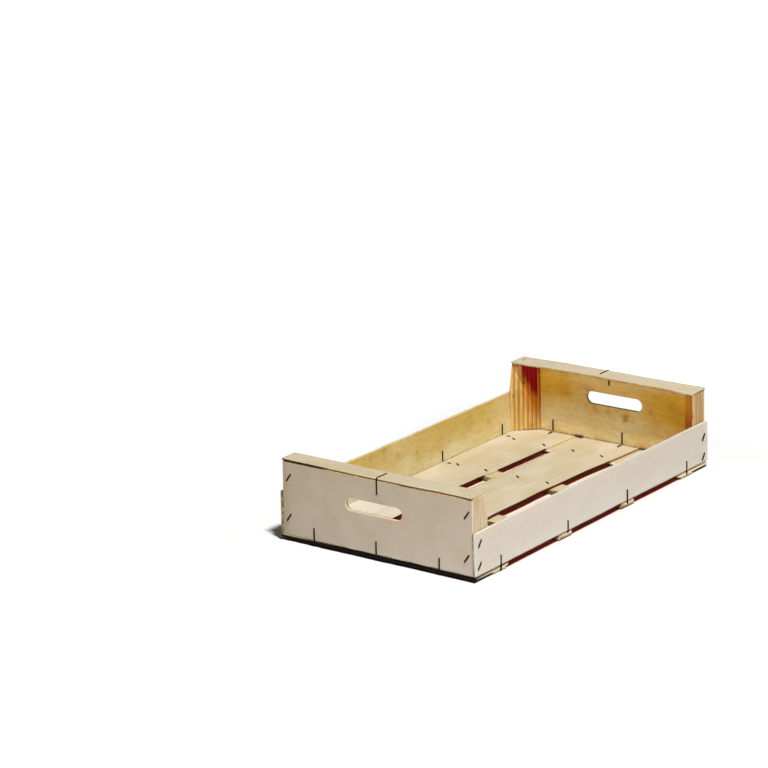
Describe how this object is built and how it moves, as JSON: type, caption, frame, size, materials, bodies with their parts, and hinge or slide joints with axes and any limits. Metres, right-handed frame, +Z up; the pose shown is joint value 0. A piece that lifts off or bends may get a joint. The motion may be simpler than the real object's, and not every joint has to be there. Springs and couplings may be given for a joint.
{
  "type": "wooden crate",
  "caption": "Shallow open-top wooden harvest crate: slotted ends with cap strips, low sides, triangular corner posts and a gapped board floor on crossbars, stitched with wire.",
  "frame": {"origin": "middle of the footprint, on the surface that the crossbars stand on", "axes": "+X across the crate to the right, +Y along it from the front end to the back end, +Z up"},
  "size_m": [0.33, 0.6, 0.12],
  "materials": {
    "poplar_ply": "raw peeled ply",
    "poplar_panel": "raw peeled veneer",
    "poplar_strip": "raw sawn",
    "poplar_board": "raw peeled veneer",
    "poplar_batten": "raw sawn",
    "pine_post": "raw sawn, strong grain",
    "staple_wire": "black annealed"
  },
  "bodies": {
    "root": {"end_panel_front": "poplar_ply", "end_panel_back": "poplar_ply", "side_panel_left": "poplar_panel", "side_panel_right": "poplar_panel", "cap_strip_front": "poplar_strip", "cap_strip_back": "poplar_strip", "floor_board_left": "poplar_board", "floor_board_middle": "poplar_board", "floor_board_right": "poplar_board", "end_sole_front": "poplar_batten", "end_sole_back": "poplar_batten", "corner_post_front_left": "pine_post", "corner_post_front_right": "pine_post", "corner_post_back_left": "pine_post", "corner_post_back_right": "pine_post", "crossbar_1": "poplar_batten", "crossbar_2": "poplar_batten", "crossbar_3": "poplar_batten", "crossbar_4": "poplar_batten", "post_staples_front": "staple_wire", "bottom_stitches_front": "staple_wire", "post_staples_back": "staple_wire", "bottom_stitches_back": "staple_wire", "post_staples_left": "staple_wire", "bottom_stitches_left": "staple_wire", "post_staples_right": "staple_wire", "bottom_stitches_right": "staple_wire", "cap_stitch_front": "staple_wire", "cap_staples_front": "staple_wire", "cap_stitch_back": "staple_wire", "cap_staples_back": "staple_wire", "floor_staples_1": "staple_wire", "floor_staples_2": "staple_wire", "floor_staples_3": "staple_wire", "floor_staples_4": "staple_wire"}
  },
  "joints": []
}
